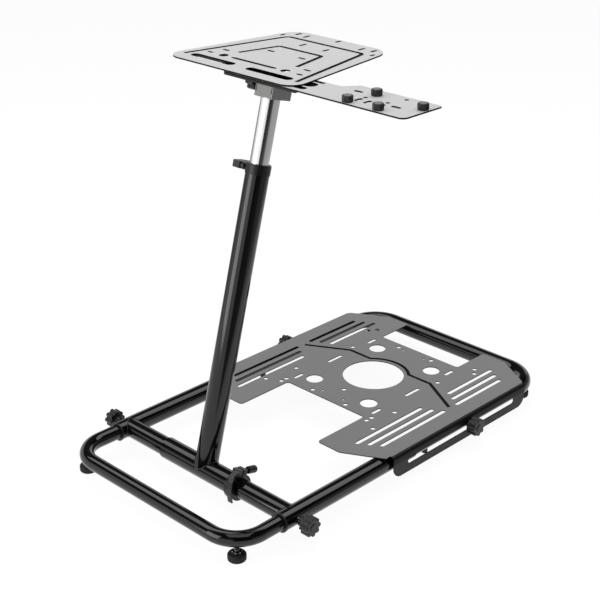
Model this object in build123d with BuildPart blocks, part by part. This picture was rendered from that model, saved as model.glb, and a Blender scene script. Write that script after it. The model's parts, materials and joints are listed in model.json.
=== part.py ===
from build123d import *
import os
from math import cos, sin, radians

# Racing wheel stand, in millimetres. X is the driver's right, Y runs from the
# driver to the pedals and Z is up. While it is built, x = 0 is the middle
# plane, y = 0 the centre of the pedal plate and z = 0 the floor.

# fits
gap = 0.3                      # between pieces that slide past or lie on each other
running = 0.05                 # radial play of a running fit

# base tubes
tube_d = 40.0                  # rails, rear loop and crossbar
wall = 2.0
bush_wall = 2.0
loop_d = tube_d - 2 * wall - 2 * bush_wall   # front loop
link_d = tube_d - 2 * wall      # links between the rails and the rear loop
axis_z = 45.5                  # height of all the base tubes
rail_x = 246.4
rail_front_y = -544.0
rail_rear_y = -163.0
cross_y = -514.0
front_y = -660.0
front_bend = 66.0
front_leg_y = -380.0
rear_y = 281.8
rear_bend = 70.0
rear_leg_y = 190.0
bush_len = 34.0
bush_lip = 3.0
bush_rim = 1.0                 # the lip stands out this far past the rail

# feet
foot_d = 36.0
foot_h = 15.0
foot_stem_d = 10.0
foot_nut_d = 18.0
foot_nut_h = 5.0

# star knobs
knob_d = 40.0
knob_h = 20.0
knob_lobes = 8
front_knob_hub_h = 14.3
knob_stem_d = 8.0
knob_hub_d = 20.0
knob_hub_h = 5.0
knob_boss_d = 16.0
pedal_knob_y = 8.0

# pedal plate
sheet = 3.0                    # top plates
pedal_sheet = 2.0
pedal_gap = 1.3                # between the rails and the plate over them
flange_off = 27.1              # from a rail's axis to the flange's outer face
pedal_half_w = rail_x + flange_off
pedal_z = axis_z + tube_d / 2 + pedal_gap
pedal_top_z = pedal_z + pedal_sheet
pedal_tip_w = 115.0            # inner edge of the four tips, from the middle
notch_front_y = -160.0
notch_rear_y = 162.5
tip_front_y = -305.0
tip_rear_y = 260.0
corner_front_y = -258.0        # where the slanted edges meet the bends
corner_rear_y = 210.0
shoulder_x = 177.0             # where the slanted outer edges meet the tips
centre_hole_r = 69.6
access_x = 82.0
access_y = 107.5
access_r = 19.2
flange_drop = 28.5             # the flange reaches this far below the tubes' axis
flange_front_y = -244.0
flange_rear_y = 206.0
flange_corner = 24.0
flange_slot_front_y = -199.0
flange_slot_rear_y = 166.0
flange_slot_drop = 2.9
flange_slot_w = 14.6
bend_r = 10.0
long_slot_w = 9.8
long_slots = [                 # x, front pair from and to, rear pair from and to
    (222.3, -227.0, -17.0, 20.5, 182.0),
    (200.6, -242.0, -30.0, 34.0, 194.0),
    (178.8, -255.5, -42.5, 47.5, 207.0),
]
short_slots = [(117.5, 22.0, -25.5), (117.5, 142.0, 113.0), (117.5, -108.5, -137.5)]
short_slot_w = 8.4
bolt_hole_r = 5.3
inner_bolt_x = 49.5
inner_bolt_y = 147.5
outer_bolt_x = 162.0
outer_bolt_rear_y = 165.0
outer_bolt_front_y = -184.0
mid_bolt_x = 129.0
mid_bolt_y = 73.0
other_holes = [(149.0, 183.0), (149.0, -98.5), (129.0, -151.0), (129.0, -167.0)]
pilot_holes = [(31.0, 142.0), (31.0, -134.0)]
pilot_r = 3.2
groove_depth = 2.0
pedal_groove_depth = 1.2
pedal_groove_w = 8.0
pedal_groove_r = 81.0
pedal_groove_y = 56.0
pedal_groove_x = 121.0
pedal_groove_end_x = 219.0

# mast
mast_tilt = 14.85              # degrees from upright, towards the pedals
mast_d = 48.0
mast_top = 632.5               # along the mast from the crossbar axis
sleeve_wall = 3.0
sleeve_d = tube_d + 2 * sleeve_wall
sleeve_left_x = -118.0
sleeve_right_x = 104.0
mast_bush_wall = 3.0
inner_d = mast_d - 2 * wall - 2 * mast_bush_wall
inner_wall = 1.5
inner_low = 335.0
guide_h = 24.0
mast_bush_h = 60.0
collar_h = 18.0
collar_wall = 1.0
collar_d = mast_d + 2 * collar_wall
ear_in_x = -mast_d / 2 + 5
ear_out_x = -mast_d / 2 - 12
ear_v = 11.0                   # half the ears' width across the mast
ear_h = 14.0
lever_in_x = ear_out_x - 1.5
lever_out_x = ear_out_x - 23
collar_bolt_x = -mast_d / 2 - 6
collar_bolt_d = 5.0

# clamp at the foot of the mast
clamp_x = 94.0
clamp_w = 20.0
clamp_wall = 5.0
clamp_d = sleeve_d + 2 * clamp_wall
clamp_ear_w = 22.0
clamp_ear_top = clamp_d / 2 + 9
clamp_bolt_s = clamp_d / 2 + 2.3
clamp_bolt_d = 6.0
clamp_blade_x = 102.0
clamp_blade_w = 12.0
clamp_grip_d = 15.0
clamp_grip_in = 22.0           # the round grip, from and to, behind the crossbar axis
clamp_grip_out = 44.0

# head
head_pivot = 788.0             # along the mast
head_w = 49.0
head_depth = 52.5
head_off = 4.0                 # the block sits this far behind the mast's axis
head_low = 25.5                # below and above the pivot, along the mast
head_high = 18.0
head_wall = 2.0                # front wall of the block, with a slit at each side
head_slit = 2.0
head_blind = 6.0               # wall left at the blind end of the pivot hole
lug_w = 12.0
lug_r = 8.5
pivot_d = 10.0
tilt_knob_hub_h = 12.0

# top plates, from the wheel plate's own middle
wheel_off = 14.04              # the plate's middle sits this far behind the tilt axis
wheel_rise = 51.42             # and its top this far above it
wheel_near = -134.0
wheel_far = 178.5
wheel_near_half = 173.0
wheel_far_half = 125.0
wheel_near_r = 31.0
wheel_far_r = 44.0
wheel_slot_x = 75.5
wheel_slot_y = -98.0
wheel_slot_len = 116.0
wheel_slot_w = 19.0
wheel_hole_x = 82.5
wheel_hole_y = -63.5
wheel_hole_r = 9.5
wheel_groove_w = 6.0
outer_groove = ((150.0, -104.0), (101.0, 129.0))
inner_groove = ((78.0, -29.0), (57.0, 60.5))
across_groove_y = -64.0
across_groove_len = 120.0
across_slots = [(109.0, -33.0, 18.0), (120.0, -64.0, 15.5), (41.5, 22.0, 19.0)]
along_slots = [(31.0, 99.0, 20.0), (74.0, 154.0, 20.0), (101.0, 159.0, 18.0), (120.5, 133.0, 14.0)]
small_slot_w = 7.0

shifter_left_x = -6.0
shifter_right_x = 424.5
shifter_far = -32.0
shifter_mid = -60.0
shifter_step_x = 219.0
shifter_wide_x = 240.0
shifter_corner = 13.0
shifter_far_corner = 5.0
shifter_step_r = 10.0
shifter_slot_len = 20.0
shifter_slot_w = 8.5
slide_slots = [(-68.0, 9.0), (-90.0, 26.0), (-116.0, 15.0)]   # place and width
slide_slot_x0 = 14.0
slide_slot_x1 = 186.0
thumb_spots = [(302.0, -60.5), (292.0, -124.0), (361.0, -124.0), (414.0, -71.0)]
thumb_d = 19.0
thumb_h = 11.5
shifter_holes = [(271.0, -93.0), (297.0, -84.0), (346.0, -82.0), (349.0, -97.0), (357.0, -46.0)]
shifter_hole_r = 4.2
shifter_slots = [(263.0, -64.0, 90.0), (297.0, -102.0, 0.0), (318.0, -102.0, 0.0), (373.0, -92.0, 90.0)]
bracket_left_x = -6.0
bracket_right_x = 176.0
bracket_near = -134.0
bracket_far = -60.0
base_left_x = -60.0
base_right_x = 60.0
base_near = -112.0
base_far = 55.0
spacer_left_x = -139.0
spacer_right_x = -38.0
spacer_near = shifter_mid + 6
slide_bolt_x = (62.0, 150.0)
slide_bolt_y = (-68.0, -116.0)

# the packed frame puts the middle of the whole outline over the floor origin
rail_face = rail_x + tube_d / 2 + wall + 3
knob_out_x = rail_face + gap + front_knob_hub_h + knob_h
frame_x = (shifter_right_x - knob_out_x) / 2
frame_y = (rear_y + tube_d / 2 + front_y - loop_d / 2) / 2
place = Pos(-frame_x, -frame_y, 0)

lean = radians(mast_tilt)
flange_low_z = axis_z - flange_drop
flange_slot_z = axis_z - flange_slot_drop
mast_plane = Plane(origin=(0, cross_y, axis_z), x_dir=(1, 0, 0), z_dir=(0, sin(lean), cos(lean)))
pivot_y = cross_y + head_pivot * sin(lean)
pivot_z = axis_z + head_pivot * cos(lean)
wheel_y = pivot_y + wheel_off
wheel_top_z = pivot_z + wheel_rise
shifter_z = wheel_top_z - 2 * sheet - gap
bracket_z = shifter_z - gap - sheet

os.makedirs("parts", exist_ok=True)


def save(shape, name):
    shape = place * shape
    shape.label = name
    export_step(shape, "parts/" + name + ".step")


def save_pair(shape, name):
    save(shape, name + "_right")
    save(mirror(shape, about=Plane.YZ), name + "_left")


# rails: open tubes that the front loop and the rear links slide into
with BuildPart() as rail:
    with BuildSketch(Plane(origin=(rail_x, rail_front_y, axis_z), z_dir=(0, 1, 0))):
        Circle(tube_d / 2)
        Circle(tube_d / 2 - wall, mode=Mode.SUBTRACT)
    extrude(amount=rail_rear_y - rail_front_y)
    with Locations(Location((rail_x + tube_d / 2, cross_y, axis_z), (0, 90, 0))):
        Cylinder(knob_boss_d / 2, 2 * wall + 6, mode=Mode.ADD)
        Cylinder(knob_stem_d / 2 + running, 6 * wall + 12, mode=Mode.SUBTRACT)
    with Locations(Location((rail_x, rail_front_y - 5, axis_z), (-90, 0, 0))):
        Cylinder(tube_d / 2 - wall, rail_rear_y - rail_front_y + 10, align=(Align.CENTER, Align.CENTER, Align.MIN),
                 mode=Mode.SUBTRACT)

# crossbar between the rails, its ends cut to their curve
with BuildPart() as crossbar:
    with BuildSketch(Plane(origin=(-rail_x, cross_y, axis_z), z_dir=(1, 0, 0))):
        Circle(tube_d / 2)
        Circle(tube_d / 2 - wall, mode=Mode.SUBTRACT)
    extrude(amount=2 * rail_x)
    for side in (-1, 1):
        with Locations(Location((side * rail_x, cross_y, axis_z), (90, 0, 0))):
            Cylinder(tube_d / 2, 2 * tube_d, mode=Mode.SUBTRACT)


def loop_line(y_end, y_bar, bend):
    # half plan of a loop: a leg, a bend and the bar up to the middle plane
    turn = 1 if y_bar > y_end else -1
    with BuildLine(Plane.XY.offset(axis_z)) as line:
        leg = Line((rail_x, y_end), (rail_x, y_bar - turn * bend))
        arc = TangentArc(leg @ 1, (rail_x - bend, y_bar), tangent=leg % 1)
        Line(arc @ 1, (0, y_bar))
    return line.wire()


# front loop, the driver's end
front_line = loop_line(front_leg_y, front_y, front_bend)
with BuildPart() as front_half:
    with BuildSketch(Plane(origin=front_line @ 0, z_dir=front_line % 0)):
        Circle(loop_d / 2)
        Circle(loop_d / 2 - wall, mode=Mode.SUBTRACT)
    sweep(path=front_line)
with BuildPart() as front_loop:
    add(front_half.part)
    mirror(about=Plane.YZ)

# rear loop, behind the pedals
rear_line = loop_line(rear_leg_y, rear_y, rear_bend)
with BuildPart() as rear_half:
    with BuildSketch(Plane(origin=rear_line @ 0, z_dir=rear_line % 0)):
        Circle(tube_d / 2)
        Circle(tube_d / 2 - wall, mode=Mode.SUBTRACT)
    sweep(path=rear_line)
with BuildPart() as rear_loop:
    add(rear_half.part)
    mirror(about=Plane.YZ)

# link between a rail and the rear loop, pushed into both
link_in = 60.0
link_rear_in = rear_y - rear_bend - rear_leg_y
with BuildPart() as link:
    with BuildSketch(Plane(origin=(rail_x, rail_rear_y - link_in, axis_z), z_dir=(0, 1, 0))):
        Circle(link_d / 2)
        Circle(link_d / 2 - wall, mode=Mode.SUBTRACT)
    extrude(amount=link_in + rear_leg_y - rail_rear_y + link_rear_in)
    with Locations(Location((rail_x + link_d / 2 - wall, pedal_knob_y, axis_z), (0, 90, 0))):
        Cylinder(knob_boss_d / 2, flange_off - pedal_sheet - gap - link_d / 2 + wall,
                 align=(Align.CENTER, Align.CENTER, Align.MIN))
    with Locations(Location((rail_x, pedal_knob_y, axis_z), (0, 90, 0))):
        Cylinder(knob_stem_d / 2 + running, flange_off, align=(Align.CENTER, Align.CENTER, Align.MIN), mode=Mode.SUBTRACT)

# plastic bush in the mouth of a rail
with BuildPart() as rail_bush:
    with BuildSketch(Plane(origin=(rail_x, rail_front_y, axis_z), z_dir=(0, 1, 0))):
        Circle(tube_d / 2 - wall)
    extrude(amount=bush_len)
    with BuildSketch(Plane(origin=(rail_x, rail_front_y, axis_z), z_dir=(0, -1, 0))):
        Circle(tube_d / 2 + bush_rim)
    extrude(amount=bush_lip)
    with Locations(Location((rail_x, rail_front_y, axis_z), (90, 0, 0))):
        Cylinder(loop_d / 2 + running, 4 * bush_len, mode=Mode.SUBTRACT)
    with Locations(Location((rail_x + tube_d / 2, cross_y, axis_z), (0, 90, 0))):
        Cylinder(knob_stem_d / 2 + 1, 12, mode=Mode.SUBTRACT)


def foot(x, y, tube_low):
    # levelling foot: pad, lock nut and stem up into a tube
    with BuildPart() as piece:
        with BuildSketch(Plane.XZ):
            with BuildLine():
                Polyline((0, 0), (foot_d / 2 - 1.5, 0), (foot_d / 2, 1.5), (foot_d / 2, foot_h - 5),
                         (foot_d / 2 - 3, foot_h - 1), (foot_nut_d / 2, foot_h), (foot_nut_d / 2, foot_h + foot_nut_h),
                         (foot_stem_d / 2, foot_h + foot_nut_h), (foot_stem_d / 2, tube_low + 0.6), (0, tube_low + 0.6),
                         close=True)
            make_face()
        revolve(axis=Axis.Z)
    return Pos(x, y, 0) * piece.part


def bend_spot(y_bar, bend, turn):
    off = bend * (1 - cos(radians(45)))
    return rail_x - off, y_bar - turn * off


def on_tube(shape, y_bar, bend, turn, radius):
    # the stem's top follows the underside of the bent tube
    with BuildPart() as core:
        with BuildSketch(Plane(origin=(rail_x, y_bar - turn * bend, axis_z), z_dir=(0, 1, 0))):
            Circle(radius)
        revolve(axis=Axis((rail_x - bend, y_bar - turn * bend, 0), (0, 0, 1)), revolution_arc=turn * 90)
    return shape - core.part


front_spot = bend_spot(front_y, front_bend, -1)
rear_spot = bend_spot(rear_y, rear_bend, 1)
foot_front = on_tube(foot(front_spot[0], front_spot[1], axis_z - loop_d / 2), front_y, front_bend, -1, loop_d / 2)
foot_rear = on_tube(foot(rear_spot[0], rear_spot[1], axis_z - tube_d / 2), rear_y, rear_bend, 1, tube_d / 2)


def star_knob(x_face, y, z, x_tip, hub_h=knob_hub_h, stem_d=knob_stem_d):
    # eight-lobed knob on a screw that points back at the tube
    with BuildPart() as piece:
        with BuildSketch():
            Circle(knob_d / 2 - 4)
            with PolarLocations(knob_d / 2 - 5, knob_lobes):
                Circle(5)
        extrude(amount=knob_h)
        fillet(piece.faces().sort_by(Axis.Z)[-1].edges(), 1.5)
        with BuildSketch():
            Circle(knob_hub_d / 2)
        extrude(amount=-hub_h)
        with BuildSketch(Plane.XY.offset(-hub_h)):
            Circle(stem_d / 2)
        extrude(amount=-(x_face - x_tip))
    return Location((x_face + hub_h, y, z), (0, 90, 0)) * piece.part


knob_front = star_knob(rail_face + gap, cross_y, axis_z, rail_x + loop_d / 2 + gap, front_knob_hub_h)
knob_pedal = star_knob(pedal_half_w + gap, pedal_knob_y, axis_z, rail_x + link_d / 2 - wall)

# pedal plate: a slotted sheet with a hanging flange along each side
bend_x = pedal_half_w - bend_r - 0.5
with BuildPart() as pedal_plate:
    with BuildSketch(Plane.XY.offset(pedal_z)) as plate_plan:
        with BuildLine():
            Polyline((pedal_tip_w, notch_rear_y), (pedal_tip_w, tip_rear_y), (shoulder_x, tip_rear_y),
                     (bend_x, corner_rear_y), (bend_x, flange_rear_y), (pedal_half_w, flange_rear_y),
                     (pedal_half_w, flange_front_y), (bend_x, flange_front_y), (bend_x, corner_front_y),
                     (shoulder_x, tip_front_y),
                     (pedal_tip_w, tip_front_y), (pedal_tip_w, notch_front_y), (-pedal_tip_w, notch_front_y),
                     (-pedal_tip_w, tip_front_y), (-shoulder_x, tip_front_y), (-bend_x, corner_front_y),
                     (-bend_x, flange_front_y), (-pedal_half_w, flange_front_y), (-pedal_half_w, flange_rear_y),
                     (-bend_x, flange_rear_y), (-bend_x, corner_rear_y), (-shoulder_x, tip_rear_y),
                     (-pedal_tip_w, tip_rear_y),
                     (-pedal_tip_w, notch_rear_y), close=True)
        make_face()
        fillet(plate_plan.vertices().filter_by(lambda v: abs(v.X) < shoulder_x + 1), 8)
        Circle(centre_hole_r, mode=Mode.SUBTRACT)
        with GridLocations(2 * access_x, 2 * access_y, 2, 2):
            Circle(access_r, mode=Mode.SUBTRACT)
        with GridLocations(2 * inner_bolt_x, 2 * inner_bolt_y, 2, 2):
            Circle(bolt_hole_r, mode=Mode.SUBTRACT)
        for side in (-1, 1):
            for x, a, b, c, d in long_slots:
                with Locations((side * x, (a + b) / 2)):
                    SlotOverall(b - a, long_slot_w, rotation=90, mode=Mode.SUBTRACT)
                with Locations((side * x, (c + d) / 2)):
                    SlotOverall(d - c, long_slot_w, rotation=90, mode=Mode.SUBTRACT)
            for x, a, b in short_slots:
                with Locations((side * x, (a + b) / 2)):
                    SlotOverall(abs(a - b), short_slot_w, rotation=90, mode=Mode.SUBTRACT)
            with Locations((side * outer_bolt_x, outer_bolt_rear_y), (side * outer_bolt_x, outer_bolt_front_y),
                           (side * mid_bolt_x, mid_bolt_y)):
                Circle(bolt_hole_r, mode=Mode.SUBTRACT)
            with Locations([(side * x, y) for x, y in other_holes]):
                Circle(bolt_hole_r, mode=Mode.SUBTRACT)
            with Locations([(side * x, y) for x, y in pilot_holes]):
                Circle(pilot_r, mode=Mode.SUBTRACT)
        with Locations((0, other_holes[1][1])):
            Circle(bolt_hole_r, mode=Mode.SUBTRACT)
    extrude(amount=pedal_sheet)
    for side in (-1, 1):
        with BuildSketch(Plane(origin=(side * pedal_half_w, 0, 0), x_dir=(0, side, 0), z_dir=(side, 0, 0))):
            mid = side * (flange_front_y + flange_rear_y) / 2
            with Locations((mid, (flange_low_z + pedal_top_z) / 2)):
                Rectangle(flange_rear_y - flange_front_y - 40, pedal_top_z - flange_low_z)
            with Locations((mid, (flange_low_z + flange_corner + pedal_top_z) / 2)):
                Rectangle(flange_rear_y - flange_front_y, pedal_top_z - flange_low_z - flange_corner)
            with Locations((side * (flange_front_y + flange_corner), flange_low_z + flange_corner),
                           (side * (flange_rear_y - flange_corner), flange_low_z + flange_corner)):
                Circle(flange_corner)
            with Locations((side * (flange_slot_front_y + flange_slot_rear_y) / 2, flange_slot_z)):
                SlotOverall(flange_slot_rear_y - flange_slot_front_y, flange_slot_w, mode=Mode.SUBTRACT)
        extrude(amount=-pedal_sheet)
    inner_edges = pedal_plate.edges().filter_by(Axis.Y).filter_by(
        lambda e: abs(abs(e.center().X) - pedal_half_w + pedal_sheet) < 0.1 and abs(e.center().Z - pedal_z) < 0.1)
    fillet(inner_edges, bend_r - pedal_sheet)
    outer_edges = pedal_plate.edges().filter_by(Axis.Y).filter_by(
        lambda e: abs(abs(e.center().X) - pedal_half_w) < 0.1 and abs(e.center().Z - pedal_top_z) < 0.1)
    fillet(outer_edges, bend_r)
    with BuildSketch(Plane.XY.offset(pedal_top_z)):
        with BuildLine() as groove_line:
            Polyline((-pedal_groove_end_x, 1), (-pedal_groove_x, pedal_groove_y),
                     (-(pedal_groove_r ** 2 - pedal_groove_y ** 2) ** 0.5, pedal_groove_y))
            RadiusArc((-(pedal_groove_r ** 2 - pedal_groove_y ** 2) ** 0.5, pedal_groove_y),
                      ((pedal_groove_r ** 2 - pedal_groove_y ** 2) ** 0.5, pedal_groove_y), pedal_groove_r)
            Polyline(((pedal_groove_r ** 2 - pedal_groove_y ** 2) ** 0.5, pedal_groove_y),
                     (pedal_groove_x, pedal_groove_y), (pedal_groove_end_x, 1))
        trace(line_width=pedal_groove_w)
    extrude(amount=-pedal_groove_depth, mode=Mode.SUBTRACT)

# mast sleeve: turns on the crossbar
with BuildPart() as mast_sleeve:
    with BuildSketch(Plane(origin=(sleeve_left_x, cross_y, axis_z), z_dir=(1, 0, 0))):
        Circle(sleeve_d / 2)
        Circle(tube_d / 2 + running, mode=Mode.SUBTRACT)
    extrude(amount=sleeve_right_x - sleeve_left_x)

# mast tube, its foot cut to the sleeve's curve
with BuildPart() as mast_tube:
    with BuildSketch(mast_plane):
        Circle(mast_d / 2)
        Circle(mast_d / 2 - wall, mode=Mode.SUBTRACT)
    extrude(amount=mast_top)
    with Locations(Location((0, cross_y, axis_z), (0, 90, 0))):
        Cylinder(sleeve_d / 2, 3 * mast_d, mode=Mode.SUBTRACT)

# guide bush in the mast's mouth
with BuildPart() as mast_bush:
    with BuildSketch(mast_plane.offset(mast_top - mast_bush_h)):
        Circle(mast_d / 2 - wall)
    extrude(amount=mast_bush_h)
    with BuildSketch(mast_plane.offset(mast_top)):
        Circle(mast_d / 2)
    extrude(amount=2)
    with BuildSketch(mast_plane.offset(mast_top - mast_bush_h - 1)):
        Circle(inner_d / 2 + running)
    extrude(amount=mast_bush_h + 5, mode=Mode.SUBTRACT)

# height clamp: a split collar with two ears
collar_mid = mast_top - collar_h / 2
with BuildPart() as height_clamp:
    with BuildSketch(mast_plane.offset(mast_top - collar_h)):
        Circle(collar_d / 2)
        Circle(mast_d / 2, mode=Mode.SUBTRACT)
    extrude(amount=collar_h)
    with BuildSketch(mast_plane.offset(collar_mid - ear_h / 2)):
        with Locations(((ear_in_x + ear_out_x) / 2, 0)):
            Rectangle(ear_in_x - ear_out_x, 2 * ear_v)
        Circle(mast_d / 2, mode=Mode.SUBTRACT)
    extrude(amount=ear_h)
    with BuildSketch(mast_plane.offset(mast_top - collar_h)):
        with Locations((-collar_d / 2 - 8, 0)):
            Rectangle(36, 3)
    extrude(amount=collar_h, mode=Mode.SUBTRACT)
    with BuildSketch(Plane(origin=mast_plane.from_local_coords((collar_bolt_x, -ear_v - 5, collar_mid)),
                           x_dir=(1, 0, 0), z_dir=mast_plane.y_dir)):
        Circle(collar_bolt_d / 2 + running)
    extrude(amount=2 * ear_v + 10, mode=Mode.SUBTRACT)

# its lever: a handle that folds round the ears, on the clamp screw
with BuildPart() as height_lever:
    with BuildSketch(mast_plane.offset(collar_mid - ear_h / 2)):
        with BuildLine():
            Polyline((lever_in_x + 13, ear_v + gap), (lever_in_x + 13, ear_v + 9), (lever_in_x + 5.5, ear_v + 13),
                     (lever_out_x + 9, ear_v + 9), (lever_out_x, ear_v - 1), (lever_out_x, -ear_v - 1),
                     (lever_out_x + 2, -ear_v - 3), (lever_in_x - 2, -ear_v - 3), (lever_in_x, -ear_v - 1),
                     (lever_in_x, ear_v + gap), close=True)
        make_face()
    extrude(amount=ear_h)
    with BuildSketch(Plane(origin=mast_plane.from_local_coords((collar_bolt_x, -ear_v - gap - 4, collar_mid)),
                           x_dir=(1, 0, 0), z_dir=mast_plane.y_dir)):
        Circle(collar_bolt_d / 2)
    extrude(amount=2 * ear_v + 10)
    with BuildSketch(Plane(origin=mast_plane.from_local_coords((collar_bolt_x, -ear_v - gap, collar_mid)),
                           x_dir=(1, 0, 0), z_dir=-mast_plane.y_dir)):
        RegularPolygon(4.5, 6)
    extrude(amount=4)

# inner tube with its lower guide
with BuildPart() as mast_inner:
    with BuildSketch(mast_plane.offset(inner_low)):
        Circle(inner_d / 2)
        Circle(inner_d / 2 - inner_wall, mode=Mode.SUBTRACT)
    extrude(amount=head_pivot - head_low - inner_low)

with BuildPart() as inner_guide:
    with BuildSketch(mast_plane.offset(inner_low - 4)):
        Circle(mast_d / 2 - wall - running)
    extrude(amount=4)
    with BuildSketch(mast_plane.offset(inner_low)):
        Circle(inner_d / 2 - inner_wall)
        Circle(inner_d / 2 - inner_wall - 3, mode=Mode.SUBTRACT)
    extrude(amount=guide_h)

# head block on the inner tube, hollowed for the bracket's lug
with BuildPart() as head_block:
    with BuildSketch(mast_plane.offset(head_pivot - head_low)):
        with Locations((0, head_off)):
            Rectangle(head_w, head_depth)
    extrude(amount=head_low + head_high)
    fillet(head_block.edges().filter_by(Axis((0, 0, 0), mast_plane.z_dir)), 2)
    lug_room_far = lug_r + 5
    lug_room_near = head_depth / 2 - head_off - head_wall
    with BuildSketch(mast_plane.offset(head_pivot - lug_r - 4)):
        with Locations((0, (lug_room_far - lug_room_near) / 2)):
            Rectangle(lug_w + 2 * gap, lug_room_far + lug_room_near)
    extrude(amount=lug_r + 4 + head_high, mode=Mode.SUBTRACT)
    with BuildSketch(mast_plane.offset(head_pivot - head_low + 9)):
        with Locations([(side * (head_w / 2 - head_wall - head_slit), head_off - head_depth / 2 + head_slit)
                        for side in (-1, 1)]):
            Rectangle(head_slit, 2 * head_slit)
    extrude(amount=head_low + head_high, mode=Mode.SUBTRACT)
    with Locations(Location((-head_w / 2, pivot_y, pivot_z), (0, 90, 0))):
        Cylinder(pivot_d / 2 + running, head_w - head_blind, align=(Align.CENTER, Align.CENTER, Align.MIN),
                 mode=Mode.SUBTRACT)

# tilt knob with the screw that the bracket's lug turns on
tilt_knob = mirror(star_knob(head_w / 2 + gap, pivot_y, pivot_z, head_blind + gap - head_w / 2, tilt_knob_hub_h,
                             pivot_d), about=Plane.YZ)

# head bracket: base plate under the top plates with the lug that tilts
with BuildPart() as head_bracket:
    with BuildSketch(Plane.XY.offset(bracket_z)):
        with Locations(((bracket_left_x + bracket_right_x) / 2, wheel_y + (bracket_near + bracket_far) / 2)):
            Rectangle(bracket_right_x - bracket_left_x, bracket_far - bracket_near)
        with Locations(((base_left_x + base_right_x) / 2, wheel_y + (base_near + base_far) / 2)):
            Rectangle(base_right_x - base_left_x, base_far - base_near)
        with Locations([(x, wheel_y + y) for x in slide_bolt_x for y in slide_bolt_y]):
            Circle(3 + running, mode=Mode.SUBTRACT)
    extrude(amount=sheet)
    with BuildSketch(Plane(origin=(-lug_w / 2, pivot_y, pivot_z), x_dir=(0, 1, 0), z_dir=(1, 0, 0))):
        Circle(lug_r)
        with Locations((0, (bracket_z - pivot_z) / 2)):
            Rectangle(2 * lug_r, bracket_z - pivot_z)
        Circle(pivot_d / 2 + running, mode=Mode.SUBTRACT)
    extrude(amount=lug_w)

# spacer round the sliding plate's inner end
with BuildPart() as head_spacer:
    with BuildSketch(Plane.XY.offset(bracket_z + sheet)):
        with BuildLine():
            Polyline((spacer_left_x, wheel_y + base_near), (spacer_right_x, wheel_y + base_near),
                     (spacer_right_x, wheel_y + spacer_near), (base_right_x, wheel_y + spacer_near),
                     (base_right_x, wheel_y + base_far), (spacer_left_x, wheel_y + base_far), close=True)
        make_face()
        with Locations((-wheel_slot_x, wheel_y + wheel_slot_y)):
            SlotOverall(wheel_slot_len, wheel_slot_w, mode=Mode.SUBTRACT)
        with Locations((-wheel_hole_x, wheel_y + wheel_hole_y)):
            Circle(wheel_hole_r, mode=Mode.SUBTRACT)
    extrude(amount=wheel_top_z - 2 * sheet - bracket_z)

# wheel plate
with BuildPart() as wheel_plate:
    with BuildSketch(Plane.XY.offset(wheel_top_z - sheet)) as wheel_plan:
        with BuildLine():
            Polyline((-wheel_near_half, wheel_y + wheel_near), (wheel_near_half, wheel_y + wheel_near),
                     (wheel_far_half, wheel_y + wheel_far), (-wheel_far_half, wheel_y + wheel_far), close=True)
        make_face()
        fillet(wheel_plan.vertices().filter_by(lambda v: v.Y < wheel_y), wheel_near_r)
        fillet(wheel_plan.vertices().filter_by(lambda v: v.Y > wheel_y + wheel_far - 1), wheel_far_r)
        for side in (-1, 1):
            with Locations((side * wheel_slot_x, wheel_y + wheel_slot_y)):
                SlotOverall(wheel_slot_len, wheel_slot_w, mode=Mode.SUBTRACT)
            with Locations((side * wheel_hole_x, wheel_y + wheel_hole_y)):
                Circle(wheel_hole_r, mode=Mode.SUBTRACT)
            for x, y, length in across_slots:
                with Locations((side * x, wheel_y + y)):
                    SlotOverall(length, small_slot_w, mode=Mode.SUBTRACT)
            for x, y, length in along_slots:
                with Locations((side * x, wheel_y + y)):
                    SlotOverall(length, small_slot_w, rotation=90, mode=Mode.SUBTRACT)
        with Locations((0, wheel_y + 167)):
            SlotOverall(17, small_slot_w, rotation=90, mode=Mode.SUBTRACT)
    extrude(amount=sheet)
    for ((near_x, near_y), (far_x, far_y)), bend in ((outer_groove, 12), (inner_groove, 6)):
        with BuildSketch(Plane.XY.offset(wheel_top_z)):
            with BuildLine(Plane.XY.offset(wheel_top_z)):
                FilletPolyline((-near_x, wheel_y + near_y), (-far_x, wheel_y + far_y), (far_x, wheel_y + far_y),
                               (near_x, wheel_y + near_y), radius=bend)
            trace(line_width=wheel_groove_w)
        extrude(amount=-groove_depth, mode=Mode.SUBTRACT)
    with BuildSketch(Plane.XY.offset(wheel_top_z)):
        with Locations((0, wheel_y + across_groove_y)):
            SlotOverall(across_groove_len, wheel_groove_w)
    extrude(amount=-groove_depth, mode=Mode.SUBTRACT)

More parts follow.
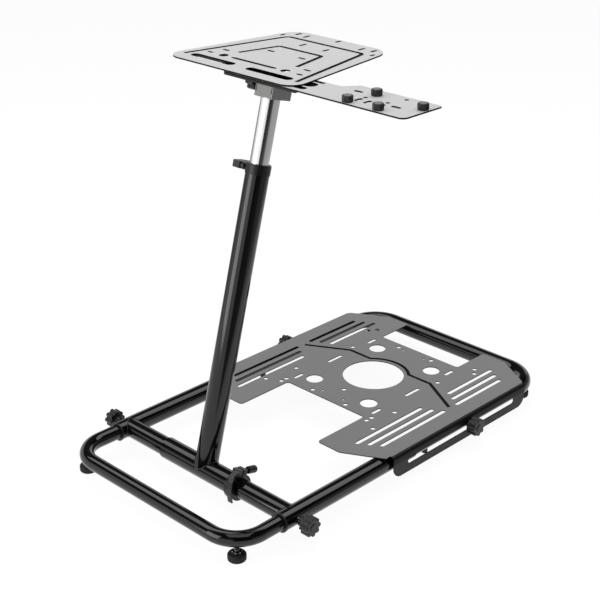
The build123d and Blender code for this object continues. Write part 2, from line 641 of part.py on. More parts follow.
# shifter plate: slides out to the driver's right
with BuildPart() as shifter_plate:
    with BuildSketch(Plane.XY.offset(shifter_z)) as shifter_plan:
        with BuildLine():
            Polyline((shifter_left_x, wheel_y + wheel_near), (shifter_right_x, wheel_y + wheel_near),
                     (shifter_right_x, wheel_y + shifter_far), (shifter_wide_x, wheel_y + shifter_far),
                     (shifter_step_x, wheel_y + shifter_mid), (shifter_left_x, wheel_y + shifter_mid), close=True)
        make_face()
        fillet(shifter_plan.vertices().group_by(Axis.X)[-1].sort_by(Axis.Y)[0], shifter_corner)
        fillet(shifter_plan.vertices().group_by(Axis.X)[-1].sort_by(Axis.Y)[-1], shifter_far_corner)
        fillet(shifter_plan.vertices().filter_by(
            lambda v: shifter_step_x - 1 < v.X < shifter_wide_x + 1 and v.Y > wheel_y + shifter_mid - 1), shifter_step_r)
        for y, width in slide_slots:
            with Locations(((slide_slot_x0 + slide_slot_x1) / 2, wheel_y + y)):
                SlotOverall(slide_slot_x1 - slide_slot_x0, width, mode=Mode.SUBTRACT)
        with Locations([(x, wheel_y + y) for x, y in shifter_holes]):
            Circle(shifter_hole_r, mode=Mode.SUBTRACT)
        with Locations([(x, wheel_y + y) for x, y in thumb_spots]):
            Circle(3 + running, mode=Mode.SUBTRACT)
        for x, y, turn in shifter_slots:
            with Locations((x, wheel_y + y)):
                SlotOverall(shifter_slot_len, shifter_slot_w, rotation=90 - turn, mode=Mode.SUBTRACT)
    extrude(amount=sheet)


def slide_bolt(x, y):
    # shouldered bolt that holds the sliding plate between bracket and wheel plate
    with BuildPart() as piece:
        with BuildSketch(Plane.XY.offset(bracket_z - 5)):
            RegularPolygon(6, 6)
        extrude(amount=5)
        with BuildSketch(Plane.XY.offset(bracket_z)):
            Circle(3)
        extrude(amount=wheel_top_z - sheet - bracket_z)
    return Pos(x, wheel_y + y, 0) * piece.part


def thumb_knob(x, y):
    with BuildPart() as piece:
        with BuildSketch(Plane.XY.offset(shifter_z + sheet)):
            Circle(thumb_d / 2)
        extrude(amount=thumb_h)
        chamfer(piece.faces().sort_by(Axis.Z)[-1].edges(), 1)
        with BuildSketch(Plane.XY.offset(shifter_z + sheet)):
            Circle(3)
        extrude(amount=-sheet - 1.2)
        with BuildSketch(Plane.XY.offset(shifter_z)):
            Circle(5.5)
        extrude(amount=-1.2)
    return Pos(x, wheel_y + y, 0) * piece.part


# clamp at the foot of the mast: split collar on the sleeve's end
clamp_plane = Plane(origin=(clamp_x - clamp_w / 2, cross_y, axis_z), x_dir=mast_plane.y_dir, z_dir=(1, 0, 0))
with BuildPart() as pivot_clamp:
    with BuildSketch(clamp_plane):
        Circle(clamp_d / 2)
        with Locations((0, clamp_ear_top / 2)):
            Rectangle(clamp_ear_w, clamp_ear_top)
        Circle(sleeve_d / 2, mode=Mode.SUBTRACT)
        with Locations((0, clamp_ear_top)):
            Rectangle(3, 2 * clamp_ear_top - sleeve_d + 6, mode=Mode.SUBTRACT)
    extrude(amount=clamp_w)
    with BuildSketch(Plane(origin=clamp_plane.from_local_coords((-clamp_d, clamp_bolt_s, clamp_w / 2)),
                           x_dir=(1, 0, 0), z_dir=mast_plane.y_dir)):
        Circle(clamp_bolt_d / 2 + running)
    extrude(amount=2 * clamp_d, mode=Mode.SUBTRACT)

# its lever: a blade in front of the collar, the screw and the round grip behind
ear = clamp_ear_w / 2 + gap
rim = clamp_d / 2
with BuildPart() as pivot_lever:
    with BuildSketch(clamp_plane.offset(clamp_blade_x - clamp_blade_w / 2 - clamp_x + clamp_w / 2)):
        with BuildLine():
            Polyline((-ear, rim + 8), (8 - rim, rim + 9), (-rim - 0.5, rim + 2), (-rim - 3, 15), (-rim - 2.6, 0),
                     (-rim - 0.5, -12), (6.5 - rim, -rim - 1), (9 - rim, 0.5 - rim), (1.7 - rim, -11.5),
                     (-rim - 0.6, 0), (-rim - 1, 14), (2 - rim, rim - 3), (8 - rim, rim), (-ear, rim - 1), close=True)
        make_face()
    extrude(amount=clamp_blade_w)
    with BuildSketch(Plane(origin=clamp_plane.from_local_coords((-ear - 4, clamp_bolt_s, clamp_w / 2)),
                           x_dir=(1, 0, 0), z_dir=mast_plane.y_dir)):
        Circle(clamp_bolt_d / 2)
    extrude(amount=ear + 4 + clamp_grip_in + 4)
    with BuildSketch(Plane(origin=clamp_plane.from_local_coords((clamp_grip_in, clamp_bolt_s, clamp_w / 2)),
                           x_dir=(1, 0, 0), z_dir=mast_plane.y_dir)):
        Circle(clamp_grip_d / 2)
    extrude(amount=clamp_grip_out - clamp_grip_in)
    fillet(pivot_lever.faces().sort_by(Axis.Y)[-1].edges(), 2)

save_pair(rail.part, "rail")
save(crossbar.part, "crossbar")
save(front_loop.part, "front_loop")
save(rear_loop.part, "rear_loop")
save_pair(link.part, "rear_link")
save_pair(rail_bush.part, "rail_bush")
save_pair(foot_front, "foot_front")
save_pair(foot_rear, "foot_rear")
save_pair(knob_front, "knob_front")
save_pair(knob_pedal, "knob_pedal")
save(pedal_plate.part, "pedal_plate")
save(mast_sleeve.part, "mast_sleeve")
save(mast_tube.part, "mast_tube")
save(mast_bush.part, "mast_bush")
save(height_clamp.part, "height_clamp")
save(height_lever.part, "height_lever")
save(mast_inner.part, "mast_inner")
save(inner_guide.part, "inner_guide")
save(head_block.part, "head_block")
save(tilt_knob, "tilt_knob")
save(head_bracket.part, "head_bracket")
save(head_spacer.part, "head_spacer")
save(wheel_plate.part, "wheel_plate")
save(shifter_plate.part, "shifter_plate")
save(pivot_clamp.part, "pivot_clamp")
save(pivot_lever.part, "pivot_lever")
for number, (x, y) in enumerate(thumb_spots):
    save(thumb_knob(x, y), "thumb_knob_" + str(number + 1))
number = 0
for x in slide_bolt_x:
    for y in slide_bolt_y:
        number += 1
        save(slide_bolt(x, y), "slide_bolt_" + str(number))
print("frame shift", round(frame_x, 3), round(frame_y, 3), "pivot", round(pivot_y, 3), round(pivot_z, 3))
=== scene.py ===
import json
import math
import bpy
import numpy as np
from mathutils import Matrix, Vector


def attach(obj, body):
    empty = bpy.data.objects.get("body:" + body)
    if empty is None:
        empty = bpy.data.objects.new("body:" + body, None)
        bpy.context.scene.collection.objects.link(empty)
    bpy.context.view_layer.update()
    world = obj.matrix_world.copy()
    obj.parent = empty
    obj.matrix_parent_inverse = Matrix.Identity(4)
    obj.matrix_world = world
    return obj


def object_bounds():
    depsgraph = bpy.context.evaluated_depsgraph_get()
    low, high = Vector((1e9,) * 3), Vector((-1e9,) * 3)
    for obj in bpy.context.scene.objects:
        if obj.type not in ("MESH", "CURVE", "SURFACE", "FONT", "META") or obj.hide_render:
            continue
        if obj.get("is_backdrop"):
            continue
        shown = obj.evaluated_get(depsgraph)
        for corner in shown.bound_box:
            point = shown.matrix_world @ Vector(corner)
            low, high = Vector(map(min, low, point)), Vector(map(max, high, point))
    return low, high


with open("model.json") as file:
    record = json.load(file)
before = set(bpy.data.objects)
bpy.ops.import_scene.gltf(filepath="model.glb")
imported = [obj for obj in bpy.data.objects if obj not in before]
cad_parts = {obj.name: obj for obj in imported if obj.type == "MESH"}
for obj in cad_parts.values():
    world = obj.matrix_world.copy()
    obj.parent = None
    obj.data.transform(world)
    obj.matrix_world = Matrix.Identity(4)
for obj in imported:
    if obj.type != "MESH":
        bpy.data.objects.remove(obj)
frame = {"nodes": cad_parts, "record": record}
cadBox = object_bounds()
nodes = frame["nodes"]
print("frame loaded:", len(nodes), "pieces")


# shader maths: sums and products of sockets as Python expressions, and one call for every other node

class Wire:
    def __init__(self, tree, socket):
        self.tree = tree
        self.socket = socket

    def calc(self, kind, *others):
        return node(self.tree, "ShaderNodeMath", {"operation": kind}, dict(enumerate((self, *others))))

    def __add__(self, other): return self.calc("ADD", other)
    def __radd__(self, other): return self.calc("ADD", other)
    def __mul__(self, other): return self.calc("MULTIPLY", other)
    def __rmul__(self, other): return self.calc("MULTIPLY", other)
    def __sub__(self, other): return self.calc("SUBTRACT", other)
    def __rsub__(self, other): return (self * -1.0).calc("ADD", other)
    def __truediv__(self, other): return self.calc("DIVIDE", other)
    def __gt__(self, other): return self.calc("GREATER_THAN", other)


def node(tree, kind, settings, inputs, out=0):
    made = tree.nodes.new(kind)
    for name, value in settings.items():
        if name == "stops":  # places and shades of a colour ramp
            elements = made.color_ramp.elements
            while len(elements) < len(value):
                elements.new(1.0)
            for element, (place, shade) in zip(elements, value):
                element.position = place
                element.color = (shade, shade, shade, 1)
        else:
            setattr(made, name, value)
    for name, value in inputs.items():
        if isinstance(value, Wire):
            tree.links.new(value.socket, made.inputs[name])
        else:
            made.inputs[name].default_value = value
    return Wire(tree, made.outputs[out]) if made.outputs else None


def steps(tree, value, low, high):  # 0 below low, 1 above high, smooth between
    settings = {"interpolation_type": "SMOOTHSTEP"}
    return node(tree, "ShaderNodeMapRange", settings, {"Value": value, "From Min": low, "From Max": high})


def blankMaterial(name):
    material = bpy.data.materials.new(name)
    material.use_nodes = True
    material.node_tree.nodes.clear()
    return material, material.node_tree


def paint(name, look, shade=None, grain=None, wear=None):
    # a Principled surface: look has the fixed sockets, shade(tree) the colour that varies,
    # grain the fine bump (noise scale, strength) and wear the roughness (noise scale, lowest, highest)
    material, tree = blankMaterial(name)
    inputs = dict(look)
    place = node(tree, "ShaderNodeTexCoord", {}, {}, "Object")
    if shade:
        inputs["Base Color"] = shade(tree)
    if grain:
        scale, strength = grain
        speckle = node(tree, "ShaderNodeTexNoise", {}, {"Vector": place, "Scale": scale, "Detail": 3.0}, "Fac")
        bump = {"Strength": strength, "Distance": 0.0003, "Height": speckle}
        inputs["Normal"] = node(tree, "ShaderNodeBump", {}, bump)
    if wear:
        scale, lowest, highest = wear
        cloud = node(tree, "ShaderNodeTexNoise", {}, {"Vector": place, "Scale": scale, "Detail": 4.0}, "Fac")
        inputs["Roughness"] = cloud * (highest - lowest) + lowest
    surface = node(tree, "ShaderNodeBsdfPrincipled", {}, inputs)
    node(tree, "ShaderNodeOutputMaterial", {}, {"Surface": surface})
    return material


# how far up a top looks, a side looks at least and at most, and the share of its colour that a side loses to painted
# shade
facing = {"top": 0.9, "sideLow": -0.5, "sideHigh": 0.6, "paintedSideShade": 0.85}


def paintedPlateShade(stops, top, sideShadeHeights):
    # painted light and shade: the colour follows how far the face looks up (0 down, 0.5 level, 1 up); an upward face
    # lower than top is a groove and painted black as its shade, and a side darkens with painted shade from the first to
    # the second height given
    def shade(tree):
        normal = node(tree, "ShaderNodeTexCoord", {}, {}, "Normal")
        place = node(tree, "ShaderNodeTexCoord", {}, {}, "Object")
        rise = node(tree, "ShaderNodeSeparateXYZ", {}, {"Vector": normal}, "Z")
        height = node(tree, "ShaderNodeSeparateXYZ", {}, {"Vector": place}, "Z")
        colour = node(tree, "ShaderNodeValToRGB", {"stops": stops}, {"Fac": rise * 0.5 + 0.5})
        # painted shade: grooves turn black, and sides between the two heights darken
        groove = (rise > facing["top"]) * (1.0 - (height > top))
        side = (rise > facing["sideLow"]) * (1.0 - (rise > facing["sideHigh"])) * steps(tree, height, *sideShadeHeights)
        shareLeftByPaintedShade = (1.0 - groove) * (1.0 - side * facing["paintedSideShade"])
        return node(tree, "ShaderNodeVectorMath", {"operation": "SCALE"}, {0: colour, "Scale": shareLeftByPaintedShade})
    return shade


# colours of the sheets by how far the face looks up: the tops keep the sheet's colour, while the darker sides,
# undersides and bends are painted shade and reflection; and the heights in metres where they change
sheetLook = {
    "pedalLightAndShadeStops": [(0.0, 0.03), (0.46, 0.03), (0.56, 0.055), (0.7, 0.006), (0.92, 0.006), (0.99, 0.22)],
    "paleLightAndShadeStops": [(0.0, 0.05), (0.5, 0.006), (0.8, 0.008), (0.97, 0.57)],
    "pedalTop": 0.0685, "wheelTop": 0.8582, "shifterTop": 0.8549, "bendPaintedShade": (0.046, 0.053), "paleSidePaintedShade": (0.6, 0.61),
}


def palePaint(name, top):  # the wheel and shifter plates: the same sheet at two heights
    return paint(name, {"Specular IOR Level": 0.2},
                 paintedPlateShade(sheetLook["paleLightAndShadeStops"], top, sheetLook["paleSidePaintedShade"]), wear=(30.0, 0.42, 0.48))


finishes = {
    "gloss_black": paint("gloss_black", {"Base Color": (0.0028, 0.0028, 0.003, 1), "Specular IOR Level": 0.5},
                         grain=(900.0, 0.04), wear=(14.0, 0.06, 0.1)),
    "satin_grey": paint("satin_grey", {"Specular IOR Level": 0.15},
                        paintedPlateShade(sheetLook["pedalLightAndShadeStops"], sheetLook["pedalTop"], sheetLook["bendPaintedShade"]),
                        wear=(30.0, 0.44, 0.52)),
    "pale_grey": palePaint("pale_grey", sheetLook["wheelTop"]),
    "pale_lower": palePaint("pale_lower", sheetLook["shifterTop"]),
    "chrome_tube": paint("chrome_tube", {"Base Color": (0.82, 0.82, 0.83, 1), "Metallic": 1.0},
                         wear=(40.0, 0.1, 0.15)),
    "silver_block": paint("silver_block", {"Base Color": (0.25, 0.247, 0.243, 1), "Metallic": 0.5},
                          grain=(700.0, 0.1), wear=(20.0, 0.36, 0.42)),
    "dark_steel": paint("dark_steel", {"Base Color": (0.006, 0.006, 0.0065, 1), "Specular IOR Level": 0.35},
                        grain=(900.0, 0.06), wear=(20.0, 0.3, 0.38)),
    "black_plastic": paint("black_plastic", {"Base Color": (0.011, 0.011, 0.0115, 1), "Specular IOR Level": 0.45},
                           grain=(1200.0, 0.12), wear=(20.0, 0.32, 0.4)),
    # a mid grey on the knob tops stands in for their highlight: painted sheen
    "plastic_painted_sheen": paint("plastic_painted_sheen", {"Base Color": (0.16, 0.16, 0.16, 1), "Specular IOR Level": 0.4},
                         wear=(90.0, 0.34, 0.46)),
    "foot_rubber": paint("foot_rubber", {"Base Color": (0.014, 0.014, 0.014, 1), "Specular IOR Level": 0.3},
                         grain=(1500.0, 0.2), wear=(20.0, 0.6, 0.7)),
    "zinc_steel": paint("zinc_steel", {"Base Color": (0.42, 0.42, 0.42, 1), "Metallic": 1.0},
                        wear=(60.0, 0.28, 0.36)),
}
slotOf = {s["node"]: s["material_slot"] for s in frame["record"]["subparts"]}
paintOf = dict(slotOf, wheel_plate="pale_grey", shifter_plate="pale_lower", pedal_plate="satin_grey")
for name, obj in nodes.items():
    obj.data.materials.clear()
    obj.data.materials.append(finishes[paintOf[name]])
print("materials assigned")


# detail pieces; lengths in millimetres of the design, whose origin the frame moves by shift

shift = np.array([-59.25, 187.1, 0.0])
design = {"crossY": -514.0, "axisZ": 45.5, "lean": 14.85, "wheelY": -298.004, "plateTop": 858.601}
lean = math.radians(design["lean"])
mastAxis = np.array([0.0, math.sin(lean), math.cos(lean)])
mastSide = np.array([0.0, math.cos(lean), -math.sin(lean)])
mastFoot = np.array([0.0, design["crossY"], design["axisZ"]])
upward = (0, 0, 1)


def solidFrom(name, shape, body, slot, sharp=35.0):
    # a mesh of the shape's corners and face arrays, in the frame, smooth but for edges past the sharp angle
    verts, faces = shape
    mesh = bpy.data.meshes.new(name)
    mesh.from_pydata(((verts + shift) / 1000.0).tolist(), [], [face for group in faces for face in group.tolist()])
    mesh.shade_smooth()
    mesh.set_sharp_from_angle(angle=math.radians(sharp))
    mesh.materials.append(finishes[slot])
    piece = bpy.data.objects.new(name, mesh)
    bpy.context.scene.collection.objects.link(piece)
    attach(piece, body)
    return piece


def joined(shapes):  # several shapes as one: each one's face numbers grow by the corners before it
    shapes = list(shapes)
    starts = np.cumsum([0] + [len(verts) for verts, faces in shapes])
    return (np.vstack([verts for verts, faces in shapes]),
            [group + start for (verts, faces), start in zip(shapes, starts) for group in faces])


def axesFor(direction):  # two unit vectors square to the direction, and the direction as the third
    along = np.array(direction, float) / np.linalg.norm(direction)
    across = np.cross(along, (0.0, 1.0, 0.0) if abs(along[1]) < 0.9 else (1.0, 0.0, 0.0))
    across = across / np.linalg.norm(across)
    return across, np.cross(along, across), along


def gridFaces(rows, columns, closedRows, closedColumns):
    # four-cornered faces of a grid of corners numbered row by row, closed on itself where said
    i = np.arange(rows if closedRows else rows - 1)[:, None]
    k = np.arange(columns if closedColumns else columns - 1)[None, :]
    nextI, nextK = (i + 1) % rows, (k + 1) % columns
    corners = (i * columns + k, i * columns + nextK, nextI * columns + nextK, nextI * columns + k)
    return np.stack(np.broadcast_arrays(*corners), -1).reshape(-1, 4)


def turned(profile, place, direction, sides=96, ribs=0, ribDepth=0.0, ribRows=(0, 0)):
    # a profile of radius and height turned round an axis, with a pole at each end;
    # on the rib rows the radius swells by the raised cosine of the rib angle
    profile = np.array(profile, float)
    rows = profile[1:-1]
    angle = np.arange(sides) * 2 * math.pi / sides
    swell = np.zeros(len(rows))
    swell[ribRows[0]:ribRows[1]] = ribDepth
    radius = rows[:, 0, None] + swell[:, None] * (0.5 + 0.5 * np.cos(ribs * angle))[None, :]
    across, third, along = axesFor(direction)
    ring = np.cos(angle)[:, None] * across + np.sin(angle)[:, None] * third
    place = np.array(place, float)
    verts = radius[:, :, None] * ring[None] + rows[:, 1, None, None] * along + place
    poles = place + profile[[0, -1], 1, None] * along
    k = np.arange(sides)
    after = (k + 1) % sides
    last = len(rows) * sides
    low = np.stack([np.full(sides, last), after, k], -1)
    high = np.stack([np.full(sides, last + 1), last - sides + k, last - sides + after], -1)
    return np.vstack([verts.reshape(-1, 3), poles]), [gridFaces(len(rows), sides, False, True), low, high]


def bead(path, outward, radius, ripple, waves=46, around=12):
    # a round bead along a closed path: its radius swings by the sine of its place, like the ripples of a weld
    ahead = np.roll(path, -1, 0) - np.roll(path, 1, 0)
    ahead = ahead / np.linalg.norm(ahead, axis=1)[:, None]
    across = outward - (outward * ahead).sum(1)[:, None] * ahead
    across = across / np.linalg.norm(across, axis=1)[:, None]
    side = np.cross(ahead, across)
    count = len(path)
    swing = radius + ripple * np.sin(np.arange(count) * 2 * math.pi * waves / count)
    angle = (np.arange(around) * 2 * math.pi / around)[None, :, None]
    ring = np.cos(angle) * across[:, None] + np.sin(angle) * side[:, None]
    faces = gridFaces(count, around, True, True)[:, ::-1]
    return (path[:, None] + swing[:, None, None] * ring).reshape(-1, 3), [faces]


# weld beads: crossbar on both rails, where two equal tubes cross, and mast on its sleeve
weldLook = {"points": 360, "railX": 246.4, "barR": 20.0, "barBead": 1.2, "barRipple": 0.12, "barLean": 0.7,
            "mastR": 24.0, "sleeveR": 23.0, "mastBead": 1.4, "mastRipple": 0.14, "mastLean": 0.6, "least": 4.0}
turn = np.arange(weldLook["points"]) * 2 * math.pi / weldLook["points"]
bend = np.abs(np.cos(turn))
radial = np.stack([np.zeros_like(turn), np.cos(turn), np.sin(turn)], -1)


def railWeld(sign):
    # the curve where the crossbar meets one rail: going round the bar, it lies short of the rail's middle
    # by the radius times the size of the cosine
    reach = sign * (weldLook["railX"] - weldLook["barR"] * bend)
    path = np.stack([reach, np.zeros_like(turn), np.zeros_like(turn)], -1) + mastFoot + weldLook["barR"] * radial
    outward = radial - np.array([sign, 0, 0]) * bend[:, None] * weldLook["barLean"]
    return bead(path, outward, weldLook["barBead"], weldLook["barRipple"])


solidFrom("weld_beads_crossbar", joined(railWeld(sign) for sign in (-1, 1)), "base_frame", "gloss_black",
          sharp=80.0)
reach = np.sqrt(np.maximum(weldLook["sleeveR"] ** 2 - (weldLook["mastR"] * np.sin(turn)) ** 2, weldLook["least"] ** 2))
mastOut = np.cos(turn)[:, None] * np.array([1.0, 0, 0]) + np.sin(turn)[:, None] * mastSide
loop = mastFoot + weldLook["mastR"] * mastOut + reach[:, None] * mastAxis
solidFrom("weld_bead_mast", bead(loop, mastOut + mastAxis * weldLook["mastLean"], weldLook["mastBead"],
                                 weldLook["mastRipple"]), "mast", "gloss_black", sharp=80.0)
print("welds made")

# knurled grips of the four thumb knobs, each with a top disc painted paler as a highlight inside a rounded rim
thumbLook = {"spots": [(302.0, -60.5), (292.0, -124.0), (361.0, -124.0), (414.0, -71.0)],
             "radius": 9.55, "low": 856.4, "high": 867.2, "ribs": 36, "ribDepth": 0.45}
thumbPlaces = [(x, design["wheelY"] + y, 0) for x, y in thumbLook["spots"]]
r, low, high = thumbLook["radius"], thumbLook["low"], thumbLook["high"]
disc = [(0, high - 1.0), (r - 2.7, high - 1.0), (r - 2.7, high - 0.25), (r - 3.0, high - 0.1), (0, high - 0.1)]
tops = solidFrom("thumb_tops", joined(turned(disc, place, upward, sides=64) for place in thumbPlaces),
                 "shifter", "black_plastic")
tops.data.materials[0] = finishes["plastic_painted_sheen"]
grip = [(0, low), (r - 0.6, low), (r, low + 0.6), (r, high - 1.2), (r - 0.4, high - 0.4), (r - 1.2, high),
        (r - 2.2, high), (r - 2.5, high - 0.4), (0, high - 0.4)]
solidFrom("thumb_grips", joined(turned(grip, place, upward, sides=216, ribs=thumbLook["ribs"],
                                       ribDepth=thumbLook["ribDepth"], ribRows=(1, 3)) for place in thumbPlaces),
          "shifter", "black_plastic")

# caps on the outer faces of the star knobs: a low dome in a ring
capLook = {"radius": 8.5, "rise": 1.4, "ring": 1.1, "frontKnob": (306.0, -514.0), "pedalKnob": (298.8, 8.0),
           "tiltKnob": (-56.8, -312.044, 807.181)}
r, rise = capLook["radius"], capLook["rise"]
cap = [(0, -0.6), (r, -0.6), (r, rise - 0.4), (r - 0.3, rise), (r - capLook["ring"], rise), (r - 1.5, rise - 0.5),
       (r * 0.5, rise - 0.15), (r * 0.25, rise), (0, rise)]
baseCaps = [((side * x, y, design["axisZ"]), (side, 0, 0))
            for side in (-1, 1) for x, y in (capLook["frontKnob"], capLook["pedalKnob"])]
solidFrom("knob_caps", joined(turned(cap, place, aim, sides=64) for place, aim in baseCaps),
          "base_frame", "black_plastic")
solidFrom("tilt_knob_cap", turned(cap, capLook["tiltKnob"], (-1, 0, 0), sides=64), "head", "black_plastic")

# levelling feet: ribbed skirt of the pad, hexagon nut and thread
footLook = {"radius": 18.05, "height": 15.0, "ribs": 40, "ribDepth": 0.4, "nut": 10.0, "nutLow": 15.0,
            "nutHigh": 20.0, "thread": 4.95, "pitch": 1.5, "threadDepth": 0.45,
            "front": {"body": "front_end", "top": 29.0, "x": 227.07, "y": -640.67},
            "rear": {"body": "base_frame", "top": 25.0, "x": 225.9, "y": 261.3}}
r, h = footLook["radius"], footLook["height"]
skirt = [(0, 2.0), (r - 1.2, 2.0), (r, 3.0), (r, h - 3.0), (r - 1.6, h - 0.6), (r - 3.0, h + 0.15), (0, h + 0.15)]
r, low, high = footLook["nut"], footLook["nutLow"], footLook["nutHigh"]
nut = [(0, low), (r - 0.8, low), (r, low + 0.7), (r, high - 0.7), (r - 0.8, high), (0, high)]
for end in ("front", "rear"):
    spot = footLook[end]
    rows = np.arange(high - 0.5, spot["top"], footLook["pitch"] / 6)
    ridge = footLook["thread"] + footLook["threadDepth"] * np.cos(rows / footLook["pitch"] * 2 * math.pi)
    thread = np.vstack([[0, rows[0]], np.stack([ridge, rows], -1), [0, rows[-1]]])
    places = [(side * spot["x"], spot["y"], 0) for side in (-1, 1)]
    solidFrom("foot_skirts_" + end, joined(turned(skirt, place, upward, sides=200, ribs=footLook["ribs"],
                                                  ribDepth=footLook["ribDepth"], ribRows=(1, 3)) for place in places),
              spot["body"], "foot_rubber")
    solidFrom("foot_nuts_" + end, joined(turned(nut, place, upward, sides=6) for place in places),
              spot["body"], "zinc_steel", sharp=25.0)
    solidFrom("foot_threads_" + end, joined(turned(thread, place, upward, sides=32) for place in places),
              spot["body"], "zinc_steel", sharp=70.0)

# rings round the grip of the foot clamp's lever
gripLook = {"x": 94.0, "alongMast": 30.3, "from": 24.0, "to": 42.0, "rings": 5, "radius": 7.45, "depth": 0.5}
rows = np.linspace(gripLook["from"], gripLook["to"], 91)
wave = np.sin((rows - rows[0]) / (rows[-1] - rows[0]) * math.pi * gripLook["rings"]) ** 2
rings = np.vstack([[0, rows[0]], np.stack([gripLook["radius"] + gripLook["depth"] * wave, rows], -1), [0, rows[-1]]])
gripFoot = mastFoot + np.array([gripLook["x"], 0, 0]) + gripLook["alongMast"] * mastAxis
solidFrom("lever_grip_rings", turned(rings, gripFoot, mastSide, sides=64), "mast", "black_plastic", sharp=60.0)

# cap screw that hangs under each rear link, just inside the side flange of the pedal plate
stubLook = {"x": 246.4, "y": -112.0, "radius": 6.5, "low": 15.5, "high": 29.0, "socket": 2.9, "socketDeep": 3.0}
r, low, high, socket = stubLook["radius"], stubLook["low"], stubLook["high"], stubLook["socket"]
stub = [(0, low + stubLook["socketDeep"]), (socket - 0.3, low + stubLook["socketDeep"]), (socket, low + 0.2),
        (r - 0.5, low), (r, low + 0.6), (r, high - 0.3), (r - 0.2, high), (0, high)]
solidFrom("link_screws", joined(turned(stub, (side * stubLook["x"], stubLook["y"], 0), upward, sides=48)
                                for side in (-1, 1)), "base_frame", "dark_steel", sharp=30.0)

# painted shade of the pressed grooves in the wheel plate: thin dark wedges on both sides of each groove stand in for
# the shaded walls:
# each line is near corner, far corner and radius of the bend, for the outer and the inner groove
shadeFlankLook = {"inner": 2.9, "outer": 4.6, "drop": 0.7, "outerDrop": 0.3, "lift": 0.06, "curve": 12,
             "lines": [((150.0, -104.0), (101.0, 129.0), 12.0), ((78.0, -29.0), (57.0, 60.5), 6.0)],
             "acrossY": -64.0, "acrossHalf": 54.0}


def rounded(corners, radius):  # an open line whose inner corner is a quadratic curve between two tangent points
    before, corner, after = np.array(corners, float)
    start = corner + (before - corner) / np.linalg.norm(before - corner) * radius
    end = corner + (after - corner) / np.linalg.norm(after - corner) * radius
    t = np.linspace(0, 1, shadeFlankLook["curve"])[:, None]
    return np.vstack([before, (1 - t) ** 2 * start + 2 * t * (1 - t) * corner + t ** 2 * end, after])


def swept(line, section):  # a closed section of four offsets and heights along a level line, shut at both ends
    ahead = np.gradient(line, axis=0)
    ahead = ahead / np.linalg.norm(ahead, axis=1)[:, None]
    across = np.stack([-ahead[:, 1], ahead[:, 0]], -1)
    section = np.array(section, float)
    flat = line[:, None] + across[:, None] * section[None, :, :1]
    heights = np.broadcast_to(section[None, :, 1:], flat.shape[:2] + (1,))
    verts = np.concatenate([flat, heights], -1).reshape(-1, 3)
    first = np.arange(len(section))[None, :]
    ends = np.vstack([first[:, ::-1], first + len(verts) - len(section)])
    return verts, [gridFaces(len(line), len(section), False, True), ends]


def shadeWedges(line):  # a thin dark wedge of painted shade on each side of the groove's middle line
    top = design["plateTop"]
    for side in (-1, 1):
        inner, outer = side * shadeFlankLook["inner"], side * shadeFlankLook["outer"]
        section = [(outer, top + shadeFlankLook["lift"]), (inner, top + shadeFlankLook["lift"]),
                   (inner, top - shadeFlankLook["drop"]), (outer, top - shadeFlankLook["outerDrop"])]
        yield swept(line + np.array([0, design["wheelY"]]), section[::side])


lines = [rounded([(side * near[0], near[1]), (side * far[0], far[1]), (0, far[1])][::side], radius)
         for near, far, radius in shadeFlankLook["lines"] for side in (-1, 1)]
lines.append(np.array([(place * shadeFlankLook["acrossHalf"], shadeFlankLook["acrossY"]) for place in (-1, 0, 1)]))
solidFrom("groove_painted_shade", joined(wedge for line in lines for wedge in shadeWedges(line)), "head", "dark_steel",
          sharp=30.0)
print("detail pieces made")

# stage: a white floor that keeps a soft shadow. What mirror-like surfaces show of it ends paperEdge metres away;
# past that only the studio's left is white, and its right has a dark gap. Angles are in turns, 0 along x.
stageLook = {"floorSize": 40.0, "shadowShare": 0.1, "ambient": 0.3, "paperEdge": 0.9, "paperFade": 0.8,
             "white": 1.04, "beyond": 0.3, "gap": 0.03, "leftFrom": (-0.43, -0.4), "rightFrom": (-0.17, -0.14),
             "gapTo": (-0.035, 0.0), "wallFrom": (0.26, 0.3), "wallTop": (0.26, 0.4), "ceiling": 0.05}


def rayKind(tree, kind):
    return node(tree, "ShaderNodeLightPath", {}, {}, "Is " + kind + " Ray")


def direction(tree, vector):  # the angle of a place or ray round the vertical axis, its level length, its height
    x, y, height = [node(tree, "ShaderNodeSeparateXYZ", {}, {"Vector": vector}, axis) for axis in "XYZ"]
    return y.calc("ARCTAN2", x) / (2 * math.pi), (x * x + y * y).calc("SQRT"), height


def roomShade(tree, angle, lit):  # white where lit, dim elsewhere, and a dark gap on the studio's right
    inGap = steps(tree, angle, *stageLook["rightFrom"]) * (1.0 - steps(tree, angle, *stageLook["gapTo"]))
    return lit * (1 - stageLook["beyond"]) + stageLook["beyond"] - inGap * (stageLook["beyond"] - stageLook["gap"])


half = stageLook["floorSize"] / 2
floorMesh = bpy.data.meshes.new("floor")
floorMesh.from_pydata([(-half, -half, 0), (half, -half, 0), (half, half, 0), (-half, half, 0)], [], [(0, 1, 2, 3)])
floor = bpy.data.objects.new("floor", floorMesh)
bpy.context.scene.collection.objects.link(floor)
floorPaint, tree = blankMaterial("floorPaint")
angle, away, _ = direction(tree, node(tree, "ShaderNodeNewGeometry", {}, {}, "Position"))
far = steps(tree, away, stageLook["paperEdge"], stageLook["paperEdge"] + stageLook["paperFade"])
lit = steps(tree, angle, *stageLook["leftFrom"]) * (1.0 - steps(tree, angle, *stageLook["rightFrom"]))
dimming = far * (1.0 - roomShade(tree, angle, lit))
glossy = rayKind(tree, "Glossy")
seen = rayKind(tree, "Camera").calc("MAXIMUM", glossy).calc("MAXIMUM", rayKind(tree, "Transmission"))
matte = node(tree, "ShaderNodeBsdfDiffuse", {}, {"Color": (0.93, 0.93, 0.93, 1)})
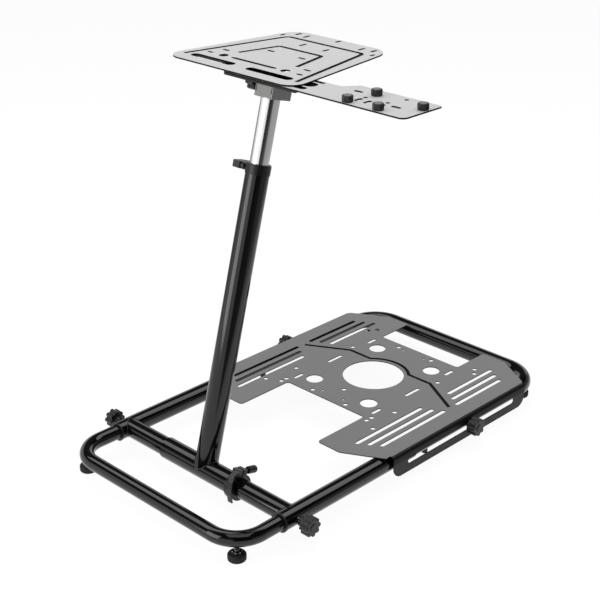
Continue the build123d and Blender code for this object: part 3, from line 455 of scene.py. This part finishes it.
white = node(tree, "ShaderNodeEmission", {}, {"Strength": stageLook["white"] - glossy * dimming})
mixed = node(tree, "ShaderNodeMixShader", {}, {0: seen * (1 - stageLook["shadowShare"]), 1: matte, 2: white})
node(tree, "ShaderNodeOutputMaterial", {}, {"Surface": mixed})
floorMesh.materials.append(floorPaint)
floor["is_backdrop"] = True

# surroundings: white for the camera, even light for matt surfaces, and for mirrors a white wall under a dark ceiling
world = bpy.data.worlds.new("studio")
bpy.context.scene.world = world
world.use_nodes = True
world.node_tree.nodes.clear()
tree = world.node_tree
angle, _, height = direction(tree, node(tree, "ShaderNodeTexCoord", {}, {}, "Generated"))
lit = 1.0 - steps(tree, angle, *stageLook["rightFrom"]) * (1.0 - steps(tree, angle, *stageLook["wallFrom"]))
room = 1.0 - steps(tree, height, *stageLook["wallTop"]) * (1 - stageLook["ceiling"])
glossy = rayKind(tree, "Glossy")
plain = rayKind(tree, "Camera").calc("MAXIMUM", rayKind(tree, "Transmission"))
matt = 1.0 - plain.calc("MAXIMUM", glossy)
strength = plain + glossy * room * roomShade(tree, angle, lit) + matt * stageLook["ambient"]
sky = node(tree, "ShaderNodeBackground", {}, {"Color": (1, 1, 1, 1), "Strength": strength})
node(tree, "ShaderNodeOutputWorld", {}, {"Surface": sky})

lamps = {  # place, width, height, radiance of each soft box; all look at the stand's middle
    "topBox": ((0.85, -0.87, 3.1), 2.4, 2.4, 1.3),
    "overStrip": ((-0.77, 0.79, 3.0), 7.5, 1.5, 2.3),
    "leftBox": ((-0.9, -3.0, 1.2), 1.9, 2.0, 3.0),
}
aim = Vector((0, 0, 0.45))
for name, (place, wide, tall, radiance) in lamps.items():
    lamp = bpy.data.lights.new(name, "AREA")
    lamp.shape = "RECTANGLE"
    lamp.size = wide
    lamp.size_y = tall
    lamp.energy = radiance * wide * tall * math.pi
    holder = bpy.data.objects.new(name, lamp)
    bpy.context.scene.collection.objects.link(holder)
    holder.location = place
    holder.rotation_mode = "QUATERNION"
    holder.rotation_quaternion = (aim - Vector(place)).to_track_quat("-Z", "Y")
    holder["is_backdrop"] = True
print("stage and lamps made")

# camera at the photo's angle; the shift is half a pixel of its 600
view = {"place": (1.71855, -1.8685, 1.4898), "azimuth": 44.356, "elevation": 24.484, "angle": 25.24, "shift": 0.5 / 600}
cameraData = bpy.data.cameras.new("camera")
cameraData.sensor_width = 36.0
cameraData.lens = cameraData.sensor_width / 2 / math.tan(math.radians(view["angle"] / 2))
cameraData.shift_x = -view["shift"]
cameraData.shift_y = view["shift"]
cameraData.clip_start = 0.05
cameraData.clip_end = 100.0
camera = bpy.data.objects.new("camera", cameraData)
bpy.context.scene.collection.objects.link(camera)
camera.location = view["place"]
camera.rotation_euler = (math.radians(90 - view["elevation"]), 0, math.radians(view["azimuth"]))
bpy.context.scene.camera = camera
bpy.context.scene.view_settings.view_transform = "Standard"
print("camera placed")

[[list(corner) for corner in box] for box in (cadBox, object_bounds())]
